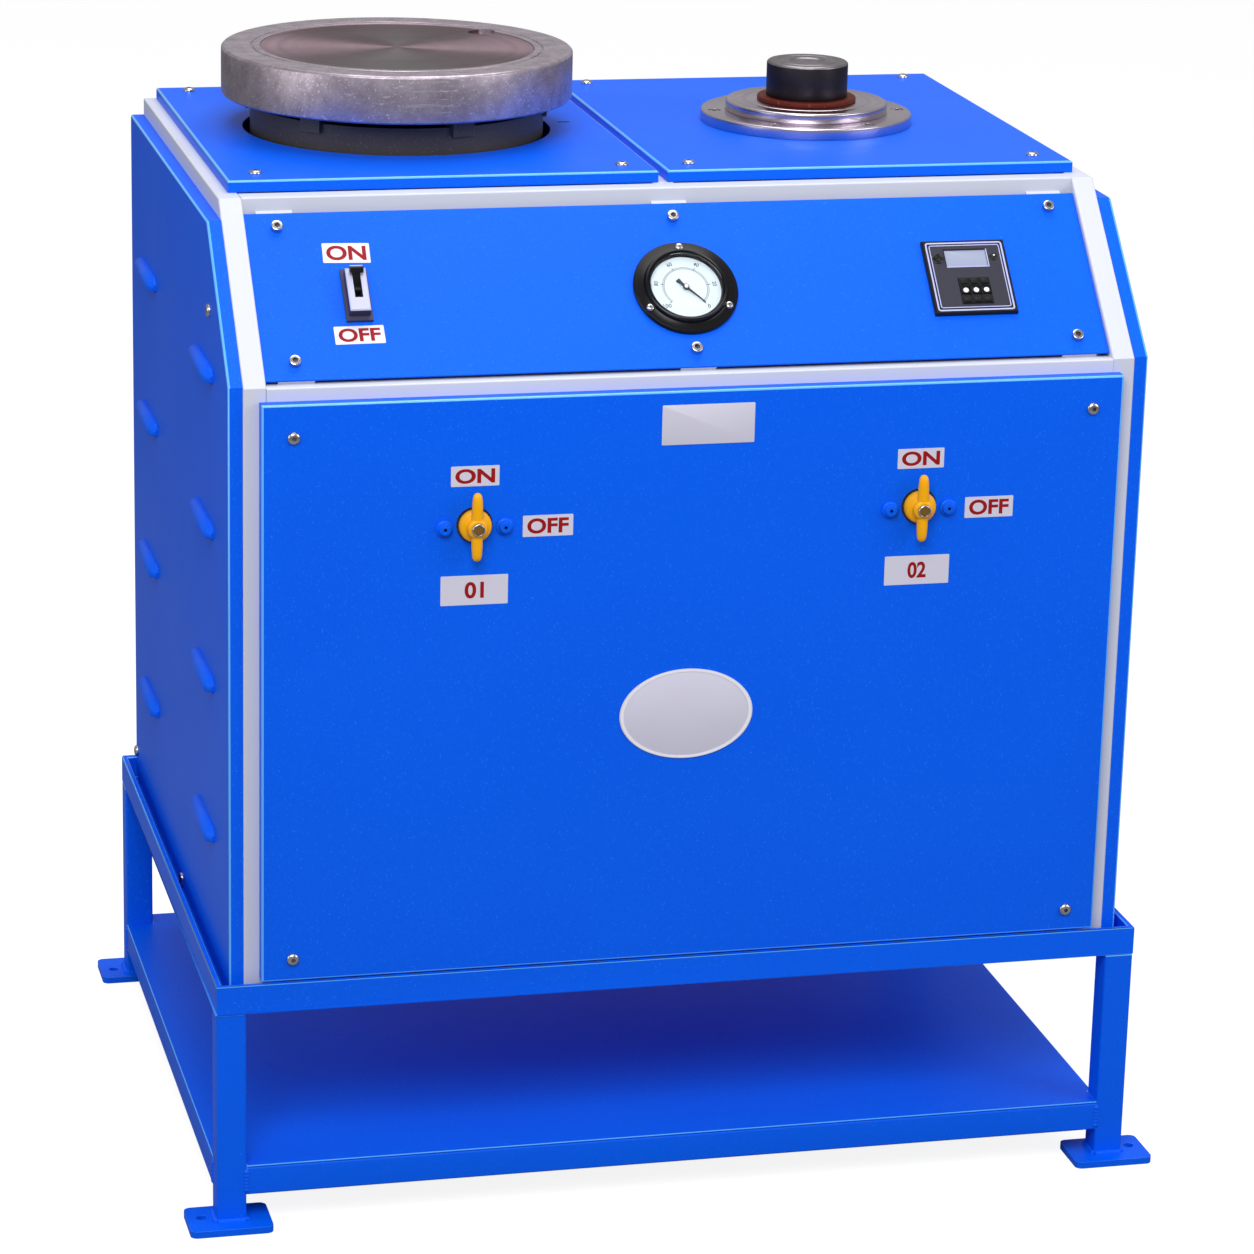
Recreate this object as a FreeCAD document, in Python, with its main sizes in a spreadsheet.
"""A two-station vacuum investing and casting machine for jewelry, on its stand.

Millimetres. +X is the machine's right, the front faces -Y, +Z is up. The origin is on the floor
under the middle of the foot plates. The slope frame of reference has X along the machine, Y up the
sloping instrument panel and Z standing off it, with its zero at the foot of the slope.
"""

import FreeCAD, Part
import math
import os
import Sketcher
from FreeCAD import Placement, Rotation, Vector

# Driving dimensions
DRIVING = {
    # Stand
    "stand_length": 800.0,
    "stand_width": 600.0,
    "stand_height": 217.0,
    "leg_side": 25.0,
    "leg_wall": 2.0,
    "leg_corner": 2.0,
    "angle_side": 25.0,
    "angle_wall": 5.0,
    "foot_length": 70.0,
    "foot_width": 50.0,
    "foot_thickness": 6.0,
    "foot_corner": 6.0,
    "foot_reach_x": 24.0,
    "foot_reach_y": 16.0,
    "foot_hole_radius": 4.5,
    "foot_hole_edge": 12.5,
    "shelf_level": 54.0,
    "shelf_sheet": 1.5,
    "shelf_right_inset": 21.0,
    # Cabinet frame of square tube
    "tube_side": 19.0,
    "tube_wall": 1.5,
    "tube_corner": 1.5,
    "frame_length": 750.0,
    "frame_depth": 580.0,
    "frame_height": 651.0,
    "frame_rear_gap": 1.0,
    "slope_setback": 128.0,
    "split_x": 3.0,
    # Sheet panels
    "sheet": 1.5,
    "fold_radius": 2.0,
    "front_pan_depth": 12.0,
    "front_pan_margin": 13.0,
    "front_pan_gap": 1.0,
    "front_pan_drop": 11.0,
    "side_pan_depth": 12.0,
    "side_pan_edge": 1.0,
    "side_pan_top_gap": 15.0,
    "side_pan_bottom_gap": 3.0,
    "top_pan_depth": 10.0,
    "top_pan_front_gap": 21.0,
    "top_pan_side_gap": 11.0,
    "top_pan_rear_gap": 4.0,
    "top_split_gap": 8.0,
    "plate_sheet": 2.0,
    "plate_inset": 4.0,
    "plate_side_gap": 0.5,
    "plate_low": 9.0,
    "plate_high": 168.0,
    "tray_sheet": 2.0,
    "tab_side": 30.0,
    "tab_sheet": 3.0,
    # Screws
    "screw_radius": 3.0,
    "screw_hole_gap": 0.3,
    "screw_head_radius": 5.5,
    "screw_head_height": 3.0,
    "screw_length": 16.0,
    "front_screw_x": 336.0,
    "front_screw_low": 237.0,
    "front_screw_high": 681.5,
    "top_screw_outer": 337.0,
    "top_screw_inner": 29.0,
    "top_screw_front": 28.0,
    "top_screw_rear": 19.0,
    "plate_screw_x": 330.0,
    "plate_screw_low": 25.3,
    "plate_screw_high": 153.5,
    # Pressed louvres of the side panels
    "louvre_length": 100.0,
    "louvre_radius": 8.0,
    "louvre_low": 313.0,
    "louvre_pitch": 132.0,
    "louvre_front_y": -157.0,
    "louvre_rear_y": 180.0,
    # Vacuum table, left station
    "table_x": -182.0,
    "table_y": 83.0,
    "plate_radius": 152.5,
    "plate_height": 41.0,
    "plate_bottom": 887.5,
    "plate_groove_radius": 126.0,
    "plate_face_radius": 119.0,
    "port_radius": 12.0,
    "port_x": 88.6,
    "port_y": 67.4,
    "drum_radius": 127.6,
    "drum_wall": 3.0,
    "drum_top": 880.0,
    "drum_bottom": 800.0,
    "drum_hole_radius": 134.0,
    "lug_width": 20.0,
    "mount_height": 40.0,
    "mount_radius": 12.0,
    "mount_x": 60.0,
    "mount_y": 95.0,
    "strap_width": 40.0,
    "strap_sheet": 5.0,
    "vibrator_radius": 34.0,
    "vibrator_length": 110.0,
    "vibrator_drop": 45.0,
    "weight_radius": 27.0,
    "weight_thickness": 14.0,
    # Casting station, right
    "cast_x": 184.4,
    "cast_y": 68.0,
    "flange_radius": 93.4,
    "flange_height": 10.0,
    "flange_bore": 62.0,
    "flange_screw_circle": 82.5,
    "ring_radius": 71.5,
    "ring_height": 9.0,
    "ring_bore": 26.0,
    "gasket_radius": 43.8,
    "gasket_height": 4.0,
    "plug_radius": 36.0,
    "plug_height": 31.0,
    "chamber_radius": 75.0,
    "chamber_wall": 4.0,
    "chamber_depth": 218.0,
    # Breaker
    "breaker_x": -272.5,
    "breaker_v": 86.0,
    "breaker_width": 21.8,
    "breaker_height": 49.0,
    "nose_width": 17.0,
    "nose_height": 40.4,
    "nose_proud": 12.0,
    "lever_length": 19.5,
    "lever_width": 11.0,
    "lever_slot": 6.6,
    # Gauge
    "gauge_x": 2.0,
    "gauge_v": 83.5,
    "gauge_flange": 44.0,
    "gauge_ring": 34.0,
    "gauge_glass": 30.5,
    "gauge_case_radius": 32.5,
    "pointer_length": 21.5,
    # Timer
    "timer_x": 247.0,
    "timer_v": 85.5,
    "timer_side": 72.0,
    "timer_proud": 4.0,
    "timer_body": 66.5,
    "timer_depth": 70.0,
    "window_width": 37.0,
    "window_height": 17.0,
    "wheel_radius": 10.0,
    "wheel_width": 7.4,
    "wheel_pitch": 9.0,
    "button_radius": 3.0,
    # Valves
    "valve_x": 188.0,
    "valve_z": 603.5,
    "handle_height": 55.0,
    "handle_hub": 13.5,
    "handle_stand": 8.0,
    "ball_radius": 12.0,
    "ball_bore": 6.0,
    "stem_radius": 4.0,
    "ball_depth": 36.0,
    "valve_screw_x": 25.0,
    "valve_screw_radius": 6.4,
    # Pump and pipes
    "pump_x": 130.0,
    "pump_y": 60.0,
    "pump_width": 120.0,
    "pump_length": 130.0,
    "pump_height": 150.0,
    "motor_radius": 62.0,
    "motor_length": 170.0,
    "fan_radius": 52.0,
    "fan_length": 30.0,
    "pipe_radius": 8.0,
    "pipe_bore": 5.0,
    "elbow_side": 22.0,
    "header_rise": 50.0,
    "pipe_rise": 25.0,
    "table_hose_gap": 4.0,
    "gland_x": -250.0,
    "gland_z": 300.0,
    "gland_radius": 12.0,
    "running_gap": 0.05,
}

SLOPE_ANGLE = 45.0
X_AXIS, Y_AXIS, Z_AXIS = Vector(1, 0, 0), Vector(0, 1, 0), Vector(0, 0, 1)
ALONG_X = Rotation(Vector(1, 1, 1), 120)
ALONG_Y = Rotation(Vector(1, 1, 1), 240)
OUT_OF_FRONT = Rotation(Vector(1, 0, 0), 90)
OUT_OF_SLOPE = Rotation(Vector(1, 0, 0), SLOPE_ANGLE)
UPRIGHT = Rotation()

# Small fixed sizes, each named after the piece that it belongs to
HOLE_SIDES = 12
SHANK_SIDES = 6
SHAFT_RADIUS = 6.0
# Panels and tabs
LOUVRE_MOUTH = 0.55
LOUVRE_TIP = 0.35
TAB_HEIGHT = 0.8
BASE_SCREW_SHIFT = 5
GUSSET_BACK = 3.3
GUSSET_RISE = 1.4
GUSSET_REACH = 1.2
GLAND_NECK = 0.75
GLAND_BORE = 0.35
GLAND_TIP = 0.7
GLAND_BACK = 10.0
GLAND_COLLAR = 4.0
GLAND_NOSE = 9.0
# Breaker
COLLAR_PROUD = 3.0
BREAKER_DEPTH = 55.0
NOSE_BEVEL = 1.0
LEVER_V = 4.0
LEVER_RISE = 4.0
SLOT_REACH = 12.0
PIN_LENGTH = 12.0
PIN_RADIUS = 1.5
HANDLE_THICK = 4.8
# Gauge
GAUGE_STEM = 6.0
GAUGE_STEM_END = -40.0
GAUGE_BACK = -30.0
GAUGE_FLANGE_HIGH = 4.0
GAUGE_SCREW_CIRCLE = 38.5
DIAL_RISE = 1.5
POINTER_RISE = 3.6
POINTER_REST = -47.0
GLASS_RISE = 6.2
GLASS_THICK = 1.5
# Timer
WHEEL_X = 2.5
WHEEL_Y = -14.5
WHEEL_SHOW = 0.6
WHEEL_TEETH = 10
WHEEL_NOTCH = 0.9
WHEEL_BLOCK_HALF = 12.5
AXLE_RADIUS = 1.5
WINDOW_Y = 17.8
WINDOW_SINK = 2.2
BUTTON_X = -24.5
BUTTON_Y = 17.7
# Valves
VALVE_HALF = 34.0
VALVE_WALL = 5.0
VALVE_SCREW_DROP = 2.0
VALVE_SHANK_STOP = 0.13
VALVE_HEAD_HIGH = 0.78
VALVE_HEAD_BEVEL = 1.6
BARREL_END = 13.0
BARREL_SHOULDER = 22.0
BARREL_WAIST = 18.0
BALL_STEP = 22.5
BRACKET_EDGE = 12.0
BRACKET_HALF = 17.0
HUB_GAP = 0.5
HUB_HEIGHT = 7.0
NUT_HEIGHT = 2.4
WING_WIDTH = 9.0
HANDLE_UP = 0.53
# Vacuum table
PLATE_EDGE = 1.5
GROOVE_HALF = 1.0
GROOVE_DEEP = 1.5
FACE_DROP = 1.0
PORT_DEEP = 4.0
LUG_COUNT = 6
LUG_START = -135.0
LUG_LENGTH = 15.0
LUG_DROP = 8.0
LUG_INSET = 11.6
MOUNT_WAIST = 0.7
VIBRATOR_EDGE = 10.0
VIBRATOR_FOOT_HALF = 30.0
WEIGHT_GAP = 4.0
WEIGHT_HUB = 11.0
WEIGHT_PAST = 8.0
# Casting station
SINK = 5.4
FLANGE_SCREWS = 6
FLANGE_SCREW_START = -5.0
SPIGOT_GAP = 0.5
SPIGOT_LEVEL = 2.0
PLUG_LEVEL = 6.0
DISH_RADIUS = 16.0
DISH_DEEP = 1.2
# Pump, motor and pipes
MOTOR_RISE = 15.0
MOTOR_FOOT_INSET = 30.0
MOTOR_FOOT_HALF = 50.0
MOTOR_FOOT_HIGH = 30.0
FIN_COUNT = 16
FIN_INSET = 12.0
FIN_THICK = 3.0
FIN_HEIGHT = 8.0
FIN_PROUD = 6.0
SHROUD_GAP = 6.0
SHROUD_WALL = 3.0
FAN_HUB = 15.0
FAN_BLADES = 7
BLADE_THICK = 2.0
BLADE_ROOT = 12.0
PUMP_CORNER = 10.0
PUMP_NECK = 20.0
PUMP_BORE = 20.0
INLET_RADIUS = 12.0
PIPE_CLEAR = 0.8


class Size:
    """A length that carries its number and the spreadsheet expression that gives it."""

    def __init__(self, number, text):
        self.number = number
        self.text = text

    def __add__(self, other):
        return joined(self, "+", other)

    def __radd__(self, other):
        return joined(other, "+", self)

    def __sub__(self, other):
        return joined(self, "-", other)

    def __rsub__(self, other):
        return joined(other, "-", self)

    def __mul__(self, other):
        return joined(self, "*", other)

    def __rmul__(self, other):
        return joined(other, "*", self)

    def __truediv__(self, other):
        return joined(self, "/", other)

    def __neg__(self):
        return joined(0.0, "-", self)

    def __float__(self):
        return float(self.number)


def as_size(value):
    return value if isinstance(value, Size) else Size(float(value), repr(float(value)))


def joined(left, sign, right):
    left, right = as_size(left), as_size(right)
    numbers = {
        "+": left.number + right.number,
        "-": left.number - right.number,
        "*": left.number * right.number,
        "/": left.number / right.number if right.number else 0.0,
    }
    return Size(numbers[sign], f"({left.text} {sign} {right.text})")


doc = FreeCAD.newDocument("casting_machine")
sheet = doc.addObject("Spreadsheet::Sheet", "Sizes")


class Driving:
    """The spreadsheet's cells, by name."""


s = Driving()
for row, (alias, number) in enumerate(DRIVING.items(), start=1):
    sheet.set(f"A{row}", alias)
    sheet.set(f"B{row}", str(number))
    sheet.setAlias(f"B{row}", alias)
    setattr(s, alias, Size(number, "Sizes." + alias))
doc.recompute()

nodes = []


# Helpers that place and bind


def bind(item, **sizes):
    """Tie properties of an object to sizes."""
    for name, value in sizes.items():
        if isinstance(value, Size):
            item.setExpression(name, value.text)
        else:
            setattr(item, name, value)


def place(item, x=0.0, y=0.0, z=0.0, turn=UPRIGHT):
    """Put an object's own origin at x, y, z, turned as asked."""
    item.Placement = Placement(Vector(float(x), float(y), float(z)), turn)
    for axis, value in zip("xyz", (x, y, z)):
        if isinstance(value, Size):
            item.setExpression("Placement.Base." + axis, value.text)
    return item


def place_on_slope(item, x, v, rise, turn=UPRIGHT):
    """Put an object on the slope: v up the slope from its foot, rise off its plane."""
    cosine = math.cos(math.radians(SLOPE_ANGLE))
    y = frame_front + (v - rise) * cosine
    z = slope_foot + (v + rise) * cosine
    return place(item, x, y, z, OUT_OF_SLOPE.multiply(turn))


def node(item, label):
    """Name a finished sub-part, which is then written to its own file."""
    item.Label = label
    nodes.append(item)
    return item


# Helpers that make shapes


def block(name, x, y, z, length, width, height):
    item = doc.addObject("Part::Box", name)
    bind(item, Length=length, Width=width, Height=height)
    return place(item, x, y, z)


def rod(name, x, y, z, radius, height, turn=UPRIGHT):
    item = doc.addObject("Part::Cylinder", name)
    bind(item, Radius=radius, Height=height)
    return place(item, x, y, z, turn)


def screw_hole(name, x, y, z, radius, height, turn=UPRIGHT):
    """A clearance hole for a screw, with flats that lie on its radius."""
    item = doc.addObject("Part::Prism", name)
    item.Polygon = HOLE_SIDES
    reach = 1 / math.cos(math.pi / HOLE_SIDES)
    bind(item, Circumradius=radius * reach, Height=height)
    return place(item, x, y, z, turn)


def group(name, items):
    item = doc.addObject("Part::Compound", name)
    item.Links = items
    return item


def cut(name, base, tools):
    item = doc.addObject("Part::Cut", name)
    item.Base = base
    item.Tool = tools[0] if len(tools) == 1 else group(name + "_tools", tools)
    return item


def fuse(name, items):
    item = doc.addObject("Part::MultiFuse", name)
    item.Shapes = items
    return item


def common(name, first, second):
    item = doc.addObject("Part::Common", name)
    item.Base = first
    item.Tool = second
    return item


def mirrored(name, source, normal):
    """The same piece on the other side of the plane through the origin."""
    item = doc.addObject("Part::Mirroring", name)
    item.Source = source
    item.Normal = normal
    return item


def copy_of(name, source):
    item = doc.addObject("App::Link", name)
    item.LinkedObject = source
    return item


def new_body(name):
    return doc.addObject("PartDesign::Body", name)


def new_sketch(body, role, lift=0.0):
    """A sketch on one of the body's own origin planes, lifted along its normal."""
    sketch = body.newObject("Sketcher::SketchObject", f"{body.Name}_sketch")
    plane = next(item for item in body.Origin.OriginFeatures if item.Role == role)
    sketch.AttachmentSupport = [(plane, "")]
    sketch.MapMode = "FlatFace"
    if isinstance(lift, Size):
        sketch.setExpression("AttachmentOffset.Base.z", lift.text)
    return sketch


def pin_point(sketch, line, end, x, y):
    """Hold one point of a sketch at x, y from its origin."""
    for kind, value in (("DistanceX", x), ("DistanceY", y)):
        number = sketch.addConstraint(Sketcher.Constraint(kind, -1, 1, line, end, float(value)))
        if isinstance(value, Size):
            sketch.setExpression(f"Constraints[{number}]", value.text)


def draw_outline(sketch, points):
    """A closed outline of straight lines through points."""
    first = sketch.GeometryCount
    corners = [Vector(float(x), float(y), 0) for x, y in points]
    count = len(corners)
    for index in range(count):
        sketch.addGeometry(Part.LineSegment(corners[index], corners[(index + 1) % count]))
    for index in range(count):
        following = first + (index + 1) % count
        sketch.addConstraint(Sketcher.Constraint("Coincident", first + index, 2, following, 1))
        pin_point(sketch, first + index, 1, *points[index])


def draw_rectangle(sketch, low_x, high_x, low_y, high_y):
    draw_outline(sketch, [(low_x, low_y), (high_x, low_y), (high_x, high_y), (low_x, high_y)])


def draw_circle(sketch, x, y, radius):
    centre = Vector(float(x), float(y), 0)
    number = sketch.addGeometry(Part.Circle(centre, Vector(0, 0, 1), float(radius)))
    pin_point(sketch, number, 3, x, y)
    held = sketch.addConstraint(Sketcher.Constraint("Radius", number, float(radius)))
    if isinstance(radius, Size):
        sketch.setExpression(f"Constraints[{held}]", radius.text)


def pad(body, sketch, length, reverse=False):
    feature = body.newObject("PartDesign::Pad", f"{body.Name}_pad")
    feature.Profile = sketch
    feature.Reversed = reverse
    bind(feature, Length=length)
    return feature


def pocket(body, sketch, length, reverse=False):
    feature = body.newObject("PartDesign::Pocket", f"{body.Name}_pocket")
    feature.Profile = sketch
    feature.Reversed = reverse
    bind(feature, Length=length)
    return feature


def fillet(body, radius, wanted, kind="PartDesign::Fillet"):
    """Round (or bevel) the edges of the body's last feature that pass the test."""
    doc.recompute()
    base = body.Tip
    names = [f"Edge{n}" for n, edge in enumerate(base.Shape.Edges, start=1) if wanted(edge)]
    feature = body.newObject(kind, f"{body.Name}_round")
    feature.Base = (base, names)
    bind(feature, **{"Radius" if kind.endswith("Fillet") else "Size": radius})
    return feature


def runs_along(edge, axis):
    """True for a straight edge parallel to an axis."""
    if edge.Curve.TypeId != "Part::GeomLine":
        return False
    return abs(abs(edge.Curve.Direction.dot(axis)) - 1) < 1e-6


def lies_at(edge, axis, level):
    """True for an edge that lies wholly in the plane at a level along an axis."""
    return all(abs(vertex.Point.dot(axis) - float(level)) < 1e-4 for vertex in edge.Vertexes)


def square_tube(name, side, wall, corner, length):
    """A hollow tube along its own Z from a low corner at its origin, with rounded edges."""
    body = new_body(name)
    outside = new_sketch(body, "XY_Plane")
    draw_rectangle(outside, 0.0, side, 0.0, side)
    pad(body, outside, length)
    fillet(body, corner, lambda edge: runs_along(edge, Z_AXIS))
    inside = new_sketch(body, "XY_Plane")
    draw_rectangle(inside, wall, side - wall, wall, side - wall)
    pocket(body, inside, length, reverse=True)
    return body


def frame_tube(name, length):
    return square_tube(name, s.tube_side, s.tube_wall, s.tube_corner, length)


def prism(name, role, points, lift, length):
    """A flat outline on an origin plane, made thick along the plane's normal."""
    body = new_body(name)
    sketch = new_sketch(body, role, lift)
    draw_outline(sketch, points)
    pad(body, sketch, length)
    return body


def turned(name, profile):
    """A turned piece about its own Z, from points of radius and height."""
    body = new_body(name)
    sketch = new_sketch(body, "XZ_Plane")
    draw_outline(sketch, profile)
    feature = body.newObject("PartDesign::Revolution", f"{name}_turn")
    feature.Profile = sketch
    feature.ReferenceAxis = (sketch, ["V_Axis"])
    feature.Angle = 360.0
    return body


# Places worked out from the driving dimensions
frame_bottom = s.stand_height - s.angle_side + s.angle_wall
frame_rear = s.stand_width / 2 - s.angle_wall - s.frame_rear_gap
frame_front = frame_rear - s.frame_depth
frame_top = frame_bottom + s.frame_height
frame_side = s.frame_length / 2
slope_foot = frame_top - s.slope_setback
slope_head_y = frame_front + s.slope_setback
slope_length = s.slope_setback * math.sqrt(2)
mitre = s.tube_side * math.tan(math.radians(SLOPE_ANGLE / 2))
inner_side = frame_side - s.tube_side
rail_bottom = s.stand_height - s.angle_side
pan_top = frame_top + s.top_pan_depth
panel_front = frame_front - s.front_pan_depth
hole_radius = s.screw_radius + s.screw_hole_gap
plate_front = -s.plate_inset


# Stand


def make_stand():
    half_length = s.stand_length / 2
    half_width = s.stand_width / 2

    leg = square_tube(
        "leg", s.leg_side, s.leg_wall, s.leg_corner, rail_bottom - s.foot_thickness
    )
    place(leg, -half_length, -half_width, s.foot_thickness)
    right_leg = mirrored("right_leg", leg, X_AXIS)
    rear_legs = [mirrored(f"rear_leg_{side.Name}", side, Y_AXIS) for side in (leg, right_leg)]
    node(group("legs", [leg, right_leg] + rear_legs), "stand_legs")

    foot = new_body("foot")
    outline = new_sketch(foot, "XY_Plane")
    low_x = -half_length - s.foot_reach_x
    low_y = -half_width - s.foot_reach_y
    draw_rectangle(outline, low_x, low_x + s.foot_length, low_y, low_y + s.foot_width)
    draw_circle(
        outline, low_x + s.foot_hole_edge, -half_width + s.leg_side / 2, s.foot_hole_radius
    )
    pad(foot, outline, s.foot_thickness)
    fillet(foot, s.foot_corner, lambda edge: runs_along(edge, Z_AXIS) and edge.Length > 1)
    right_foot = mirrored("right_foot", foot, X_AXIS)
    rear_feet = [mirrored(f"rear_{side.Name}", side, Y_AXIS) for side in (foot, right_foot)]
    node(group("feet", [foot, right_foot] + rear_feet), "foot_plates")

    rails = []
    for name, role, reach, across in (
        ("long_rail", "YZ_Plane", half_length, half_width),
        ("short_rail", "XZ_Plane", half_width, half_length),
    ):
        section = [
            (-across, rail_bottom),
            (-across + s.angle_side, rail_bottom),
            (-across + s.angle_side, rail_bottom + s.angle_wall),
            (-across + s.angle_wall, rail_bottom + s.angle_wall),
            (-across + s.angle_wall, s.stand_height),
            (-across, s.stand_height),
        ]
        straight = prism(name, role, section, -reach, reach * 2)
        if role == "YZ_Plane":
            mitred = [(-reach, -across), (reach, -across)]
            mitred += [(reach - s.angle_side, -across + s.angle_side)]
            mitred += [(-reach + s.angle_side, -across + s.angle_side)]
        else:
            mitred = [(-across, reach), (-across, -reach)]
            mitred += [(-across + s.angle_side, -reach + s.angle_side)]
            mitred += [(-across + s.angle_side, reach - s.angle_side)]
        ends = prism(f"{name}_ends", "XY_Plane", mitred, rail_bottom, s.angle_side)
        rail = common(f"{name}_mitred", straight, ends)
        rails += [rail, mirrored(f"{name}_far", rail, Y_AXIS if role == "YZ_Plane" else X_AXIS)]
    node(group("top_rails", rails), "stand_top_rails")

    rail_low = s.shelf_level - s.leg_side
    long_length = s.stand_length - s.leg_side * 2
    short_length = s.stand_width - s.leg_side * 2
    shelf_right = half_length - s.shelf_right_inset
    long_shelf = square_tube("front_shelf_rail", s.leg_side, s.leg_wall, s.leg_corner, long_length)
    place(long_shelf, -half_length + s.leg_side, -half_width, rail_low, ALONG_X)
    shelf_rails = [long_shelf, mirrored("rear_shelf_rail", long_shelf, Y_AXIS)]
    for name, low_x in (
        ("left_shelf_rail", -half_length),
        ("right_shelf_rail", shelf_right - s.leg_side),
    ):
        rail = square_tube(name, s.leg_side, s.leg_wall, s.leg_corner, short_length)
        shelf_rails.append(place(rail, low_x, -half_width + s.leg_side, rail_low, ALONG_Y))
    node(group("shelf_rails_all", shelf_rails), "shelf_rails")

    shelf_whole = block(
        "shelf_whole", -half_length, -half_width, s.shelf_level,
        s.stand_length - s.shelf_right_inset, s.stand_width, s.shelf_sheet,
    )
    notches = [
        block(f"notch_{n}", x, y, s.shelf_level, s.leg_side, s.leg_side, s.shelf_sheet)
        for n, (x, y) in enumerate(
            (x, y)
            for x in (-half_length, half_length - s.leg_side)
            for y in (-half_width, half_width - s.leg_side)
        )
    ]
    node(cut("shelf", shelf_whole, notches), "shelf_plate")


# Cabinet frame


def make_frame():
    front_profile = [
        (frame_front, frame_bottom),
        (frame_front + s.tube_side, frame_bottom),
        (frame_front + s.tube_side, slope_foot - mitre),
        (frame_front, slope_foot),
    ]
    slope_profile = [
        (frame_front, slope_foot),
        (frame_front + s.tube_side, slope_foot - mitre),
        (slope_head_y + mitre, frame_top - s.tube_side),
        (slope_head_y, frame_top),
    ]
    head_profile = [
        (slope_head_y, frame_top),
        (slope_head_y + mitre, frame_top - s.tube_side),
        (frame_rear, frame_top - s.tube_side),
        (frame_rear, frame_top),
    ]

    def mitred_pair(name, tube, profile):
        ends = prism(f"{name}_ends", "YZ_Plane", profile, -frame_side, s.tube_side)
        left = common(f"{name}_left", tube, ends)
        return [left, mirrored(f"{name}_right", left, X_AXIS)]

    upright = frame_tube("front_upright_tube", slope_foot - frame_bottom)
    place(upright, -frame_side, frame_front, frame_bottom)
    node(group("front_uprights", mitred_pair("front_upright", upright, front_profile)),
         "frame_front_uprights")

    slope = frame_tube("slope_tube", slope_length)
    place_on_slope(slope, -frame_side, as_size(0.0), -s.tube_side, ALONG_Y)
    node(group("slopes", mitred_pair("slope", slope, slope_profile)), "frame_slope_tubes")

    top = frame_tube("top_side_tube", frame_rear - slope_head_y)
    place(top, -frame_side, slope_head_y, frame_top - s.tube_side, ALONG_Y)
    tops = mitred_pair("top_side", top, head_profile)
    base = frame_tube("base_side_tube", s.frame_depth - s.tube_side * 2)
    place(base, -frame_side, frame_front + s.tube_side, frame_bottom, ALONG_Y)
    node(group("side_tubes", tops + [base, mirrored("base_side_right", base, X_AXIS)]),
         "frame_side_tubes")

    rear = frame_tube("rear_upright_tube", s.frame_height - s.tube_side)
    place(rear, -frame_side, frame_rear - s.tube_side, frame_bottom)
    node(group("rear_uprights", [rear, mirrored("rear_upright_right", rear, X_AXIS)]),
         "frame_rear_uprights")

    crosses = []
    for name, y, z in (
        ("mid_cross", frame_front, slope_foot - s.tube_side),
        ("head_cross", slope_head_y, frame_top - s.tube_side),
        ("rear_cross", frame_rear - s.tube_side, frame_top - s.tube_side),
        ("base_front_cross", frame_front, frame_bottom),
        ("base_rear_cross", frame_rear - s.tube_side, frame_bottom),
    ):
        tube = frame_tube(name, inner_side * 2)
        crosses.append(place(tube, -inner_side, y, z, ALONG_X))
    centre = frame_tube("centre_tube", frame_rear - slope_head_y - s.tube_side * 2)
    place(
        centre, s.split_x - s.tube_side / 2, slope_head_y + s.tube_side,
        frame_top - s.tube_side, ALONG_Y,
    )
    node(group("cross_tubes", crosses + [centre]), "frame_cross_tubes")


# Screw places, each with the tab that takes the screw

top_front_y = slope_head_y + s.top_pan_front_gap
top_rear_y = frame_rear - s.top_pan_rear_gap
TOP_SCREWS = []
for screw_y in (top_front_y + s.top_screw_front, top_rear_y - s.top_screw_rear):
    for screw_x in (
        -s.top_screw_outer,
        s.split_x - s.top_screw_inner,
        s.split_x + s.top_screw_inner,
        s.top_screw_outer,
    ):
        TOP_SCREWS.append((screw_x, screw_y))
FRONT_SCREWS = [
    (x, z)
    for x in (-s.front_screw_x, s.front_screw_x)
    for z in (s.front_screw_low, s.front_screw_high)
]
PLATE_SCREWS = [
    (x, v)
    for x in (-s.plate_screw_x, s.gauge_x, s.plate_screw_x)
    for v in (s.plate_screw_low, s.plate_screw_high)
]
side_low_z = frame_bottom + s.tube_side / 2
SIDE_SCREWS = [
    (frame_rear - s.tube_side / 2, frame_bottom + s.tab_side),
    (frame_front + s.frame_depth / 2 - s.tab_sheet * BASE_SCREW_SHIFT, side_low_z),
    (frame_front + s.tab_side * GUSSET_BACK, slope_foot + s.tab_side * GUSSET_RISE),
]


# Sheet panels


def folded_pan(name, role, points, lift, depth, outer_axis, outer_level, reverse=False):
    """A sheet pan, open at the back, with its folds rounded."""
    body = new_body(name)
    sketch = new_sketch(body, role, lift)
    draw_outline(sketch, points)
    pad(body, sketch, depth, reverse)
    fillet(body, s.fold_radius, lambda edge: lies_at(edge, outer_axis, outer_level))
    return body


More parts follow.
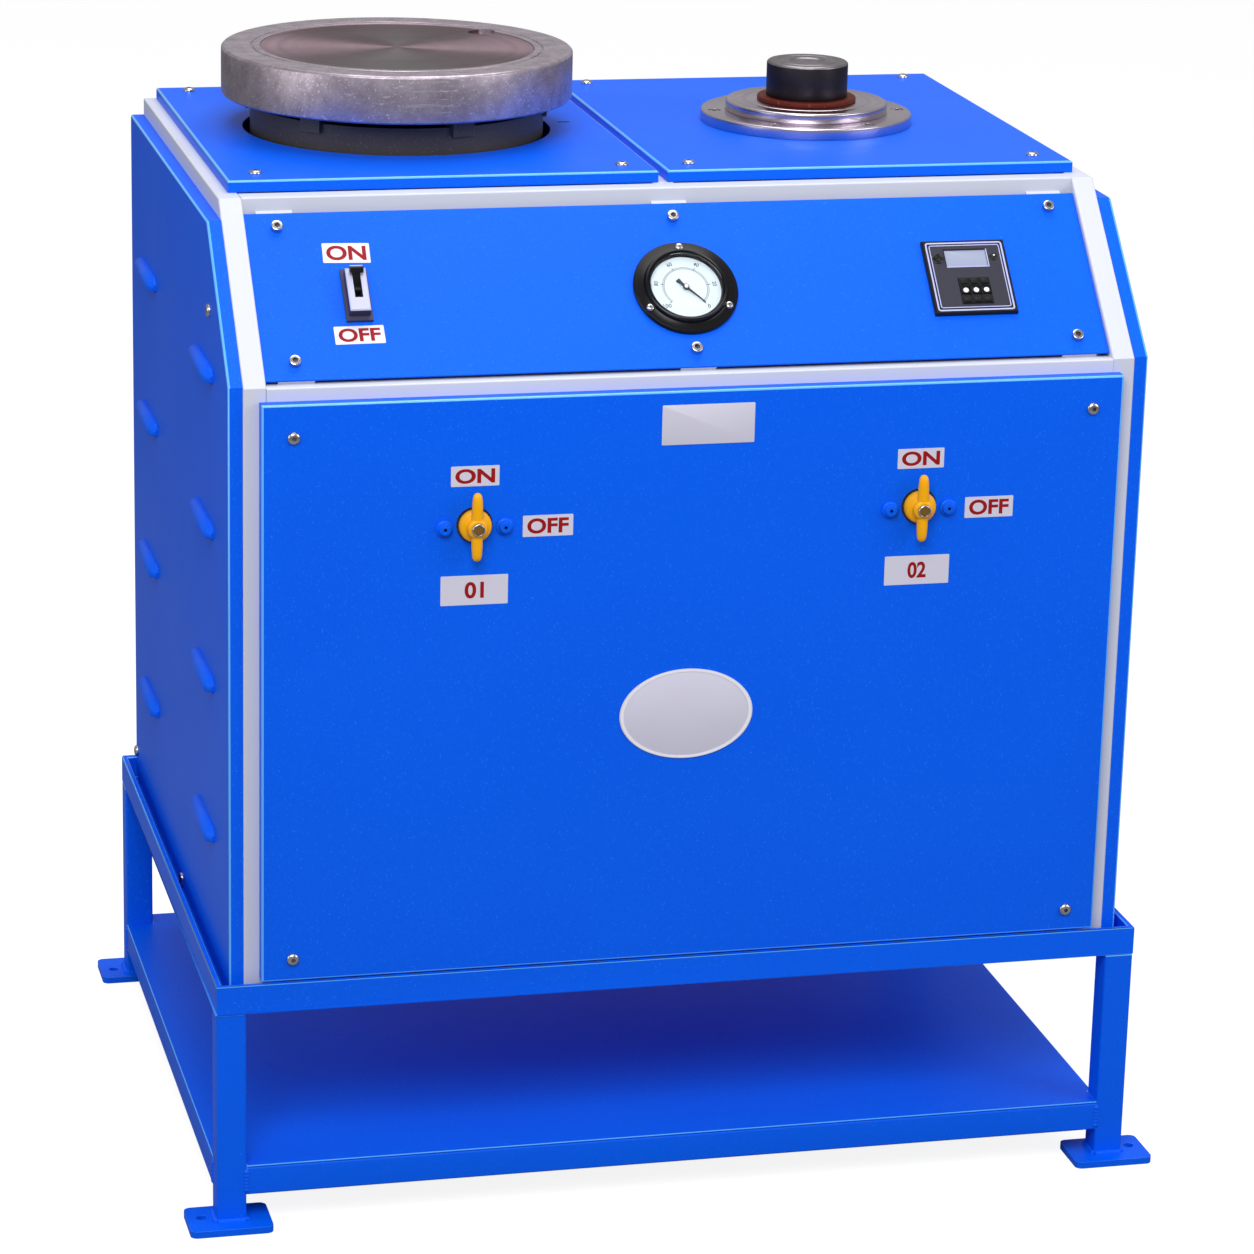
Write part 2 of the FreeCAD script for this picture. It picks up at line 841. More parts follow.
def make_front_and_rear():
    low_x = -frame_side + s.front_pan_margin
    low_z = s.stand_height + s.front_pan_gap
    for side, face, top in (
        ("front", frame_front, slope_foot - s.front_pan_drop),
        ("rear", frame_rear, frame_top - s.tube_side / 2),
    ):
        front = side == "front"
        outline = [(low_x, low_z), (-low_x, low_z), (-low_x, top), (low_x, top)]
        outer = face - s.front_pan_depth if front else face + s.front_pan_depth
        pan = folded_pan(
            f"{side}_pan", "XZ_Plane", outline, -face, s.front_pan_depth, Y_AXIS, outer,
            reverse=not front,
        )
        inside = block(
            f"{side}_pan_inside",
            low_x + s.sheet,
            outer + s.sheet if front else face,
            low_z + s.sheet,
            -low_x * 2 - s.sheet * 2,
            s.front_pan_depth - s.sheet,
            top - low_z - s.sheet * 2,
        )
        tools = [inside]
        for number, (x, z) in enumerate(FRONT_SCREWS):
            turn = OUT_OF_FRONT
            start = face + s.sheet if front else face + s.front_pan_depth + s.sheet
            tools.append(
                screw_hole(f"{side}_screw_hole_{number}", x, start, z, hole_radius,
                    s.front_pan_depth + s.sheet * 2, turn)
            )
        if front:
            for number, x in enumerate((-s.valve_x, s.valve_x)):
                hub_hole = s.handle_hub + s.tube_wall
                tools.append(
                    rod(f"hub_hole_{number}", x, face, s.valve_z, hub_hole,
                        s.front_pan_depth + s.sheet, OUT_OF_FRONT)
                )
                for end in (-1, 1):
                    tools.append(
                        screw_hole(f"valve_screw_hole_{number}_{end}", x + end * s.valve_screw_x, face,
                            s.valve_z - VALVE_SCREW_DROP, hole_radius,
                            s.front_pan_depth + s.sheet, OUT_OF_FRONT)
                    )
        else:
            tools.append(
                rod("gland_hole", s.gland_x, face + s.front_pan_depth + s.sheet, s.gland_z,
                    s.gland_radius * GLAND_NECK, s.front_pan_depth, OUT_OF_FRONT)
            )
        node(cut(f"{side}_cut", pan, tools), f"{side}_panel")


def louvre_shapes(name, y, z):
    """The outside and the inside of one pressed louvre, and the slot behind it."""
    face = -frame_side - s.side_pan_depth
    half = s.louvre_length / 2 - s.louvre_radius
    parts = []
    for layer, radius in (("skin", s.louvre_radius), ("hollow", s.louvre_radius - s.sheet)):
        pieces = [rod(f"{name}_{layer}", face, y - half, z, radius, half * 2, ALONG_Y)]
        for end, turn in ((-1, Rotation(X_AXIS, 90)), (1, Rotation(X_AXIS, -90))):
            cone = doc.addObject("Part::Cone", f"{name}_{layer}_end")
            bind(cone, Radius1=radius, Radius2=radius * LOUVRE_TIP, Height=radius)
            pieces.append(place(cone, face, y + end * half, z, turn))
        parts.append(fuse(f"{name}_{layer}_whole", pieces))
    return parts


def make_side_panels():
    outer = -frame_side - s.side_pan_depth
    front_y = frame_front + s.side_pan_edge
    low_z = frame_bottom + s.side_pan_bottom_gap
    top_z = frame_top - s.side_pan_top_gap
    foot_z = slope_foot + s.side_pan_edge
    head_y = frame_front + s.slope_setback - s.side_pan_top_gap
    outline = [
        (front_y, low_z), (frame_rear, low_z), (frame_rear, top_z),
        (head_y, top_z), (front_y, foot_z),
    ]
    pan = folded_pan(
        "side_pan", "YZ_Plane", outline, outer, s.side_pan_depth, X_AXIS, outer
    )
    shift = s.sheet * math.tan(math.radians(SLOPE_ANGLE / 2))
    inner = [
        (front_y + s.sheet, low_z + s.sheet),
        (frame_rear - s.sheet, low_z + s.sheet),
        (frame_rear - s.sheet, top_z - s.sheet),
        (head_y + shift, top_z - s.sheet),
        (front_y + s.sheet, foot_z - shift),
    ]
    inside = prism(
        "side_pan_inside", "YZ_Plane", inner, outer + s.sheet, s.side_pan_depth
    )
    tools = [inside]
    for number, (y, z) in enumerate(SIDE_SCREWS):
        tools.append(
            screw_hole(f"side_screw_hole_{number}", outer - s.sheet, y, z, hole_radius,
                s.side_pan_depth, ALONG_X)
        )
    skins, hollows = [], []
    for column, y in enumerate((s.louvre_front_y, s.louvre_rear_y)):
        for row in range(4):
            z = s.louvre_low + s.louvre_pitch * row
            skin, hollow = louvre_shapes(f"louvre_{column}_{row}", y, z)
            skins.append(skin)
            hollows.append(hollow)
    below = [
        block(
            f"louvre_mouth_{column}_{row}",
            outer - s.louvre_radius,
            y - s.louvre_length / 2,
            s.louvre_low + s.louvre_pitch * row - s.louvre_radius,
            s.louvre_radius,
            s.louvre_length,
            s.louvre_radius * LOUVRE_MOUTH,
        )
        for column, y in enumerate((s.louvre_front_y, s.louvre_rear_y))
        for row in range(4)
    ]
    shell = cut("side_shell", pan, tools)
    pressed = fuse("side_pressed", [shell] + skins)
    opened = cut("side_opened", pressed, hollows + below)
    keep = block(
        "side_keep", outer - s.louvre_radius * 2, front_y, low_z,
        s.louvre_radius * 2 + s.side_pan_depth, frame_rear - front_y, top_z - low_z,
    )
    behind = prism(
        "side_behind", "YZ_Plane", inner, outer + s.sheet, s.louvre_radius * 2
    )
    trimmed = cut("side_trimmed", common("side_kept", opened, keep), [behind])
    left = node(trimmed, "side_panel_left")
    node(mirrored("side_right", left, X_AXIS), "side_panel_right")


def make_top_panels():
    for side, low_x, high_x in (
        ("left", -frame_side + s.top_pan_side_gap, s.split_x - s.top_split_gap / 2),
        ("right", s.split_x + s.top_split_gap / 2, frame_side - s.top_pan_side_gap),
    ):
        outline = [
            (low_x, top_front_y), (high_x, top_front_y), (high_x, top_rear_y), (low_x, top_rear_y)
        ]
        pan = folded_pan(
            f"top_pan_{side}", "XY_Plane", outline, frame_top, s.top_pan_depth, Z_AXIS, pan_top
        )
        tools = [
            block(
                f"top_inside_{side}", low_x + s.sheet, top_front_y + s.sheet, frame_top,
                high_x - low_x - s.sheet * 2, top_rear_y - top_front_y - s.sheet * 2,
                s.top_pan_depth - s.sheet,
            )
        ]
        for number, (x, y) in enumerate(TOP_SCREWS):
            if float(low_x) < float(x) < float(high_x):
                tools.append(
                    screw_hole(f"top_hole_{side}_{number}", x, y, frame_top, hole_radius,
                        s.top_pan_depth + s.sheet)
                )
        if side == "left":
            hole = (s.table_x, s.table_y, s.drum_hole_radius)
        else:
            hole = (s.cast_x, s.cast_y, s.chamber_radius + s.chamber_wall)
        tools.append(
            rod(f"top_opening_{side}", hole[0], hole[1], frame_top, hole[2],
                s.top_pan_depth + s.sheet)
        )
        node(cut(f"top_cut_{side}", pan, tools), f"top_panel_{side}")


def make_instrument_panel():
    half = inner_side - s.plate_side_gap
    plate = block(
        "instrument_plate", 0.0, 0.0, 0.0, half * 2, s.plate_high - s.plate_low, s.plate_sheet
    )
    place_on_slope(plate, -half, s.plate_low, plate_front - s.plate_sheet)
    tools = []
    deep = s.plate_sheet * 3
    for number, (x, v) in enumerate(PLATE_SCREWS):
        hole = screw_hole(f"plate_hole_{number}", 0.0, 0.0, 0.0, hole_radius, deep)
        tools.append(place_on_slope(hole, x, v, plate_front - s.plate_sheet * 2))
    hole = rod("gauge_hole", 0.0, 0.0, 0.0, s.gauge_case_radius + s.screw_hole_gap, deep)
    tools.append(place_on_slope(hole, s.gauge_x, s.gauge_v, plate_front - s.plate_sheet * 2))
    for name, x, v, width, height in (
        ("breaker", s.breaker_x, s.breaker_v, s.nose_width, s.nose_height),
        ("timer", s.timer_x, s.timer_v, s.timer_body, s.timer_body),
    ):
        wide = width + s.screw_hole_gap * 2
        tall = height + s.screw_hole_gap * 2
        window = block(f"{name}_opening", 0.0, 0.0, 0.0, wide, tall, deep)
        tools.append(
            place_on_slope(window, x - wide / 2, v - tall / 2, plate_front - s.plate_sheet * 2)
        )
    node(cut("instrument_cut", plate, tools), "instrument_panel")


def make_tray():
    whole = block(
        "tray_whole", -frame_side, frame_front, frame_bottom + s.tube_side,
        s.frame_length, s.frame_depth, s.tray_sheet,
    )
    corners = [
        block(f"tray_corner_{n}", x, y, frame_bottom + s.tube_side,
              s.tube_side, s.tube_side, s.tray_sheet)
        for n, (x, y) in enumerate(
            (x, y)
            for x in (-frame_side, inner_side)
            for y in (frame_front, frame_rear - s.tube_side)
        )
    ]
    node(cut("tray", whole, corners), "base_tray")


# Screw tabs and screws


def drilled_tab(name, low, size, hole):
    """A flat tab with its screw hole, on its own axes."""
    plate = block(f"{name}_plate", *low, *size)
    return cut(name, plate, [hole])


def make_tabs():
    tabs = []
    half = s.tab_side / 2
    for number, (x, y) in enumerate(TOP_SCREWS):
        inner = abs(float(x)) < float(s.top_screw_outer) - 1
        left = float(x) < float(s.split_x)
        if inner:
            low_x = s.split_x + s.tube_side / 2
            low_x = s.split_x * 2 - low_x - s.tab_side if left else low_x
        else:
            low_x = -inner_side if left else inner_side - s.tab_side
        front = number < 4
        low_y = y - half if front else frame_rear - s.tube_side - s.tab_side
        low_z = frame_top - s.tab_sheet
        hole = screw_hole(f"top_tab_hole_{number}", x, y, low_z, hole_radius, s.tab_sheet)
        low = (low_x, low_y, low_z)
        tabs.append(drilled_tab(f"top_tab_{number}", low, (s.tab_side, s.tab_side, s.tab_sheet), hole))
    for side, face in (("front", frame_front), ("rear", frame_rear - s.tab_sheet)):
        for number, (x, z) in enumerate(FRONT_SCREWS):
            low_x = -inner_side if float(x) < 0 else inner_side - s.tab_side
            hole = screw_hole(
                f"{side}_tab_hole_{number}", x, face + s.tab_sheet, z, hole_radius, s.tab_sheet,
                OUT_OF_FRONT,
            )
            low = (low_x, face, z - half * TAB_HEIGHT)
            size = (s.tab_side, s.tab_sheet, s.tab_side * TAB_HEIGHT)
            tabs.append(drilled_tab(f"{side}_tab_{number}", low, size, hole))
    under = plate_front - s.plate_sheet - s.tab_sheet
    for number, (x, v) in enumerate(PLATE_SCREWS):
        low_v = -under if number % 2 == 0 else slope_length + under - s.tab_side
        hole = screw_hole(f"plate_tab_hole_{number}", 0.0, 0.0, 0.0, hole_radius, s.tab_sheet)
        place_on_slope(hole, x, v, under)
        plate = block(
            f"plate_tab_plate_{number}", 0.0, 0.0, 0.0, s.tab_side, s.tab_side, s.tab_sheet
        )
        place_on_slope(plate, x - half, low_v, under)
        tabs.append(cut(f"plate_tab_{number}", plate, [hole]))
    y, z = SIDE_SCREWS[2]
    reach = s.tab_side * GUSSET_REACH
    gusset = block("gusset_plate", 0.0, 0.0, 0.0, s.tab_sheet, s.tab_side, reach)
    along = (y - frame_front + z - slope_foot) / math.sqrt(2)
    place_on_slope(gusset, -frame_side, along - half, -s.tube_side - reach)
    hole = screw_hole("gusset_hole", -frame_side, y, z, hole_radius, s.tab_sheet, ALONG_X)
    gusset = cut("gusset", gusset, [hole])
    tabs += [gusset, mirrored("gusset_right", gusset, X_AXIS)]
    node(group("tabs", tabs), "screw_tabs")


def round_screw(name, radius, length, head_radius, head_height, bevel):
    """A screw along its own Z, its head standing on the face at zero, its top edge bevelled."""
    body = new_body(name)
    for sides, across, low, high in (
        (SHANK_SIDES, radius, -length, as_size(0.0)),
        (HOLE_SIDES, head_radius, as_size(0.0), head_height),
    ):
        sketch = new_sketch(body, "XY_Plane", low)
        draw_outline(sketch, [
            (across * math.cos(turn), across * math.sin(turn))
            for turn in (2 * math.pi * side / sides for side in range(sides))
        ])
        pad(body, sketch, high - low)
    fillet(body, bevel, lambda edge: lies_at(edge, Z_AXIS, head_height), "PartDesign::Chamfer")
    return body


def button_screw(name, length):
    """A button-head screw, domed by a wide bevel."""
    high = s.screw_head_height
    return round_screw(name, s.screw_radius, length, s.screw_head_radius, high, high * 0.6)


def cap_screw(name, length):
    """A socket cap screw with a tall narrow head."""
    head = s.screw_radius * 1.6
    return round_screw(name, s.screw_radius, length, head, s.screw_radius * 1.7, as_size(0.5))


def make_screws():
    button = button_screw("button_screw", s.screw_length)
    short_button = button_screw("short_button_screw", s.side_pan_depth - s.screw_hole_gap)
    cap = cap_screw("cap_screw", s.screw_length - s.tab_side / 4)
    screws = []
    for number, (x, y) in enumerate(TOP_SCREWS):
        screws.append(place(copy_of(f"top_screw_{number}", button), x, y, pan_top))
    for number, (x, z) in enumerate(FRONT_SCREWS):
        screws.append(
            place(copy_of(f"front_screw_{number}", button), x, panel_front, z, OUT_OF_FRONT)
        )
        screws.append(
            place(copy_of(f"rear_screw_{number}", button), x, frame_rear + s.front_pan_depth, z,
                  Rotation(X_AXIS, -90))
        )
    for number, (y, z) in enumerate(SIDE_SCREWS):
        for end in (-1, 1):
            side = copy_of(f"side_screw_{number}_{end + 1}", short_button)
            x = (frame_side + s.side_pan_depth) * end
            screws.append(place(side, x, y, z, Rotation(Y_AXIS, 90 * end)))
    node(group("panel_screw_set", screws), "panel_screws")

    plate_caps = []
    for number, (x, v) in enumerate(PLATE_SCREWS):
        plate_caps.append(place_on_slope(copy_of(f"plate_cap_{number}", cap), x, v, plate_front))
    small = gauge_screw()
    for number in range(3):
        x, y = gauge_screw_place(number)
        item = copy_of(f"gauge_screw_{number}", small)
        plate_caps.append(
            place_on_slope(item, s.gauge_x + x, s.gauge_v + y, plate_front + GAUGE_FLANGE_HIGH)
        )
    node(group("plate_cap_set", plate_caps), "instrument_screws")


# Breaker


def make_breaker():
    collar = block(
        "collar", -s.breaker_width / 2, -s.breaker_height / 2, 0.0,
        s.breaker_width, s.breaker_height, COLLAR_PROUD,
    )
    nose = new_body("nose")
    sketch = new_sketch(nose, "XY_Plane", -s.plate_sheet - BREAKER_DEPTH)
    draw_rectangle(
        sketch, -s.nose_width / 2, s.nose_width / 2, -s.nose_height / 2, s.nose_height / 2
    )
    pad(nose, sketch, s.nose_proud + s.plate_sheet + BREAKER_DEPTH)
    fillet(nose, NOSE_BEVEL, lambda edge: lies_at(edge, Z_AXIS, s.nose_proud),
           "PartDesign::Chamfer")
    slot = block(
        "lever_slot_space", -s.lever_slot / 2, LEVER_V - SLOT_REACH, -1.0,
        s.lever_slot, SLOT_REACH * 2, s.nose_proud + 2,
    )
    pin_hole = rod(
        "lever_pin_hole", -PIN_LENGTH / 2 - 0.2, LEVER_V, LEVER_RISE,
        PIN_RADIUS + s.running_gap, PIN_LENGTH + 0.4, ALONG_X,
    )
    body = cut("breaker", fuse("breaker_solid", [collar, nose]), [slot, pin_hole])
    place_on_slope(body, s.breaker_x, s.breaker_v, plate_front)
    node(body, "breaker_body")

    barrel = rod("lever_barrel", -s.lever_slot / 2 + 0.3, 0.0, 0.0, 3.5, s.lever_slot - 0.6, ALONG_X)
    pin = rod("lever_pin", -PIN_LENGTH / 2, 0.0, 0.0, PIN_RADIUS, PIN_LENGTH, ALONG_X)
    stem = block("lever_stem", -s.lever_slot / 2 + 0.5, -2.0, 0.0, s.lever_slot - 1, 4.0, 15.0)
    handle = new_body("lever_handle")
    sketch = new_sketch(handle, "XY_Plane", s.lever_length - HANDLE_THICK)
    draw_rectangle(sketch, -s.lever_width / 2, s.lever_width / 2, -3.0, 3.0)
    pad(handle, sketch, as_size(HANDLE_THICK))
    fillet(handle, 1.0, lambda edge: lies_at(edge, Z_AXIS, s.lever_length))
    lever = fuse("lever", [barrel, pin, stem, handle])
    place_on_slope(
        lever, s.breaker_x, s.breaker_v + LEVER_V, plate_front + LEVER_RISE, Rotation(X_AXIS, -45)
    )
    node(lever, "breaker_lever")


# Gauge


def make_gauge():
    flange = s.gauge_flange
    ring = s.gauge_ring
    glass = s.gauge_glass
    case = turned("gauge_case_turned", [
        (0.0, GAUGE_STEM_END), (GAUGE_STEM, GAUGE_STEM_END), (GAUGE_STEM, GAUGE_BACK),
        (s.gauge_case_radius, GAUGE_BACK),
        (s.gauge_case_radius, 0.0), (flange, 0.0), (flange - 0.6, GAUGE_FLANGE_HIGH),
        (ring + 1, GAUGE_FLANGE_HIGH), (ring, GLASS_RISE + 2), (glass + 0.3, GLASS_RISE + 2),
        (glass + 0.3, GLASS_RISE), (glass - 0.5, GLASS_RISE), (glass - 0.5, DIAL_RISE),
        (0.0, DIAL_RISE),
    ])
    bore = rod("pointer_bore", 0.0, 0.0, -4.0, 1.0 + s.running_gap, 8.0)
    case = cut("gauge_case_bored", case, [bore])
    screw_tools = []
    for number in range(3):
        x, y = gauge_screw_place(number)
        screw_tools.append(screw_hole(f"gauge_screw_hole_{number}", x, y, -1.0, 2.1, 8.0))
    case = cut("gauge_case_drilled", case, screw_tools)
    node(place_on_slope(case, s.gauge_x, s.gauge_v, plate_front), "gauge_case")

    dial = cut(
        "dial_plate",
        rod("dial_disc", 0.0, 0.0, DIAL_RISE, glass - 0.8, 0.8),
        [rod("dial_hole", 0.0, 0.0, 1.0, 1.0 + s.running_gap, 2.0)],
    )
    node(place_on_slope(dial, s.gauge_x, s.gauge_v, plate_front), "gauge_dial")

    arm = prism("pointer_arm", "XY_Plane", [
        (-7.0, -1.6), (-3.0, -0.6), (s.pointer_length, -0.25), (s.pointer_length, 0.25),
        (-3.0, 0.6), (-7.0, 1.6),
    ], as_size(POINTER_RISE), as_size(0.6))
    pointer = fuse("pointer", [
        arm,
        rod("pointer_hub", 0.0, 0.0, POINTER_RISE - 0.4, 2.6, 1.6),
        rod("pointer_pin", 0.0, 0.0, -3.0, 1.0, POINTER_RISE + 3.5),
    ])
    place_on_slope(
        pointer, s.gauge_x, s.gauge_v, plate_front, Rotation(Z_AXIS, POINTER_REST)
    )
    node(pointer, "gauge_pointer")
    lens = rod("lens", 0.0, 0.0, 0.0, glass, GLASS_THICK)
    node(place_on_slope(lens, s.gauge_x, s.gauge_v, plate_front + GLASS_RISE), "gauge_glass")


def gauge_screw_place(number):
    angle = math.radians(90 + 120 * number)
    return GAUGE_SCREW_CIRCLE * math.cos(angle), GAUGE_SCREW_CIRCLE * math.sin(angle)


def gauge_screw():
    small = s.screw_radius * 0.6
    return round_screw(
        "gauge_screw", small, as_size(GAUGE_FLANGE_HIGH - 0.1), small * 2, small * 1.2,
        as_size(0.8),
    )


# Timer


def make_timer():
    side = s.timer_side
    bezel = new_body("bezel")
    sketch = new_sketch(bezel, "XY_Plane")
    draw_rectangle(sketch, -side / 2, side / 2, -side / 2, side / 2)
    pad(bezel, sketch, s.timer_proud)
    fillet(bezel, 1.0, lambda edge: lies_at(edge, Z_AXIS, s.timer_proud), "PartDesign::Chamfer")
    case = block(
        "timer_case", -s.timer_body / 2, -s.timer_body / 2, -s.timer_depth,
        s.timer_body, s.timer_body, s.timer_depth,
    )
    wheel_block = block(
        "wheel_block", WHEEL_X - s.wheel_pitch * 1.5, WHEEL_Y - WHEEL_BLOCK_HALF, 0.0,
        s.wheel_pitch * 3, WHEEL_BLOCK_HALF * 2, s.timer_proud + 1,
    )
    solid = fuse("timer_solid", [bezel, case, wheel_block])
    axle_depth = s.timer_proud + WHEEL_SHOW + 1 - s.wheel_radius
    tools = [
        block(
            "window_space", -s.window_width / 2, WINDOW_Y - s.window_height / 2,
            s.timer_proud - WINDOW_SINK, s.window_width, s.window_height, WINDOW_SINK * 2,
        ),
        rod("button_bore", BUTTON_X, BUTTON_Y, s.timer_proud - 6, s.button_radius + 0.2, 8.0),
    ]
    wheels = []
    for number in (-1, 0, 1):
        centre = WHEEL_X + s.wheel_pitch * number
        room = s.wheel_radius + 0.5
        tools.append(
            rod(f"wheel_room_{number}", centre - s.wheel_width / 2 - 0.3, WHEEL_Y, axle_depth,
                room, s.wheel_width + 0.6, ALONG_X)
        )
        teeth = []
        for point in range(WHEEL_TEETH * 4):
            angle = math.radians(90.0 / WHEEL_TEETH * (point + 0.5))
            deep = WHEEL_NOTCH if point % 4 == 0 else 0.0
            radius = s.wheel_radius - deep
            teeth.append((radius * math.cos(angle), radius * math.sin(angle)))
        wheel = prism(f"wheel_disc_{number}", "YZ_Plane", teeth, -s.wheel_width / 2, s.wheel_width)
        bore = rod(
            f"wheel_bore_{number}", -s.wheel_width / 2, 0.0, 0.0, AXLE_RADIUS + s.running_gap,
            s.wheel_width, ALONG_X,
        )
        wheel = cut(f"wheel_{number}", wheel, [bore])
        place_on_slope(wheel, s.timer_x + centre, s.timer_v + WHEEL_Y, plate_front + axle_depth)
        wheels.append(wheel)
    housing = cut("timer_hollow", solid, tools)
    axle = rod(
        "wheel_axle", WHEEL_X - s.wheel_pitch * 1.5, WHEEL_Y, axle_depth, AXLE_RADIUS,
        s.wheel_pitch * 3, ALONG_X,
    )
    housing = fuse("timer_whole", [housing, axle])
    node(place_on_slope(housing, s.timer_x, s.timer_v, plate_front), "timer_housing")
    for number, wheel in enumerate(wheels, start=1):
        node(wheel, f"timer_thumbwheel_{number}")
    window = block(
        "window_pane", 0.0, 0.0, 0.0, s.window_width - 0.4, s.window_height - 0.4, 1.5
    )
    place_on_slope(
        window, s.timer_x - s.window_width / 2 + 0.2,
        s.timer_v + WINDOW_Y - s.window_height / 2 + 0.2, plate_front + s.timer_proud - WINDOW_SINK,
    )
    node(window, "timer_window")
    button = turned("timer_button_turned", [
        (0.0, -4.5), (s.button_radius, -4.5), (s.button_radius, 0.6),
        (s.button_radius - 0.6, 1.2), (0.0, 1.2),
    ])
    place_on_slope(
        button, s.timer_x + BUTTON_X, s.timer_v + BUTTON_Y, plate_front + s.timer_proud
    )
    node(button, "timer_button")


# Valves, in a frame with X across, Y up and Z out of the front panel


def make_valves():
    brackets = []
    mount_screws = []
    inner_face = s.front_pan_depth - s.sheet
    outer_face = s.front_pan_depth
    neck_radius = s.stem_radius + VALVE_WALL
    ball_z = -s.ball_depth
    screw = flange_screw()
    for side, x in (("vacuum", -s.valve_x), ("casting", s.valve_x)):

        def at_valve(item, turn=UPRIGHT):
            return place(item, x, frame_front, s.valve_z, OUT_OF_FRONT.multiply(turn))

        barrel = turned(f"{side}_barrel", [
            (0.0, -VALVE_HALF), (BARREL_END, -VALVE_HALF), (BARREL_END, -BARREL_SHOULDER),
            (s.ball_radius + VALVE_WALL, -BARREL_WAIST), (s.ball_radius + VALVE_WALL, BARREL_WAIST),
            (BARREL_END, BARREL_SHOULDER), (BARREL_END, VALVE_HALF), (0.0, VALVE_HALF),
        ])
        place(barrel, 0.0, 0.0, ball_z, Rotation(X_AXIS, -90))
        neck = rod(f"{side}_neck", 0.0, 0.0, ball_z, neck_radius, inner_face - ball_z)
        room = rod(
            f"{side}_ball_room", 0.0, 0.0, ball_z - s.ball_radius - s.running_gap,
            s.ball_radius + s.running_gap, (s.ball_radius + s.running_gap) * 2,
        )
        flow = rod(
            f"{side}_flow", 0.0, -VALVE_HALF, ball_z, s.ball_bore, VALVE_HALF * 2, ALONG_Y
        )
        stem_bore = rod(
            f"{side}_stem_bore", 0.0, 0.0, ball_z, s.stem_radius + s.running_gap,
            inner_face - ball_z,
        )
        body = cut(f"{side}_body", fuse(f"{side}_cast", [barrel, neck]), [room, flow, stem_bore])
        node(at_valve(body), f"{side}_valve_body")

        rings = [math.radians(BALL_STEP * ring - 90) for ring in range(int(180 / BALL_STEP) + 1)]
        ball = turned(f"{side}_ball_turned", [
            (s.ball_radius * math.cos(ring), ball_z + s.ball_radius * math.sin(ring))
            if 0 < number < len(rings) - 1 else (0.0, ball_z + s.ball_radius * math.sin(ring))
            for number, ring in enumerate(rings)
        ])
        stem_top = outer_face + HUB_GAP + HUB_HEIGHT + s.handle_stand
        stem = rod(
            f"{side}_stem", 0.0, 0.0, ball_z, s.stem_radius, stem_top - ball_z + NUT_HEIGHT - 1
        )
        through = rod(
            f"{side}_through", 0.0, -s.ball_radius * 1.5, ball_z, s.ball_bore, s.ball_radius * 3,
            ALONG_Y,
        )
        ball = cut(f"{side}_ball", fuse(f"{side}_ball_stem", [ball, stem]), [through])
        node(at_valve(ball), f"{side}_valve_ball")

        low = outer_face + HUB_GAP
        hub = turned(f"{side}_hub", [
            (0.0, low), (s.handle_hub, low), (s.handle_hub, low + HUB_HEIGHT - 2),
            (s.handle_hub - 3, low + HUB_HEIGHT), (8.0, low + HUB_HEIGHT), (7.0, stem_top),
            (0.0, stem_top),
        ])
        wings = handle_wings(f"{side}_wings", stem_top)
        bore = rod(
            f"{side}_handle_bore", 0.0, 0.0, low, s.stem_radius + s.running_gap, stem_top - low
        )
        handle = cut(f"{side}_handle", fuse(f"{side}_handle_solid", [hub, wings]), [bore])
        node(at_valve(handle), f"{side}_valve_handle")

        nut = turned(f"{side}_nut_turned", [
            (s.stem_radius + s.running_gap, stem_top), (6.0, stem_top),
            (6.0, stem_top + NUT_HEIGHT - 1.2), (5.0, stem_top + NUT_HEIGHT),
            (s.stem_radius + s.running_gap, stem_top + NUT_HEIGHT),
        ])
        node(at_valve(nut), f"{side}_valve_nut")

        plate = block(
            f"{side}_bracket_plate", -s.valve_screw_x - BRACKET_EDGE, -BRACKET_HALF,
            inner_face - s.tab_sheet, s.valve_screw_x * 2 + BRACKET_EDGE * 2, BRACKET_HALF * 2,
            s.tab_sheet,
        )
        holes = [rod(f"{side}_bracket_hole", 0.0, 0.0, 0.0, neck_radius + s.running_gap, inner_face)]
        for end in (-1, 1):
            holes.append(
                screw_hole(f"{side}_bracket_screw_{end}", end * s.valve_screw_x, -VALVE_SCREW_DROP, 0.0,
                    hole_radius, inner_face)
            )
            mounted = copy_of(f"{side}_mount_screw_{end}", screw)
            place(mounted, x + end * s.valve_screw_x, panel_front, s.valve_z - VALVE_SCREW_DROP,
                  OUT_OF_FRONT)
            mount_screws.append(mounted)
        bracket = cut(f"{side}_bracket", plate, holes)
        brackets.append(at_valve(bracket))
    node(group("bracket_pair", brackets), "valve_brackets")
    node(group("mount_screw_set", mount_screws), "valve_mount_screws")


def handle_wings(name, stem_top):
    """The T handle's two wings: a bar with round ends that thickens to its root."""
    body = new_body(name)
    sketch = new_sketch(body, "YZ_Plane", as_size(-WING_WIDTH / 2))
    high = s.handle_height * HANDLE_UP
    low = high - s.handle_height
    draw_outline(sketch, [
        (low, stem_top - 1), (low, stem_top - 6), (low + 14, stem_top - 9),
        (high - 14, stem_top - 9), (high, stem_top - 6), (high, stem_top - 1),
        (high - 6, stem_top), (low + 6, stem_top),
    ])
    pad(body, sketch, as_size(WING_WIDTH))
    fillet(body, 2.5, lambda edge: abs(edge.BoundBox.XLength) < 0.01)
    return body


def flange_screw():
    """A blue domed screw that holds the valve's bracket to the panel."""
    return round_screw(
        "flange_screw", s.screw_radius, s.front_pan_depth - s.tab_side * VALVE_SHANK_STOP,
        s.valve_screw_radius, s.valve_screw_radius * VALVE_HEAD_HIGH, as_size(VALVE_HEAD_BEVEL),
    )


# Vacuum table


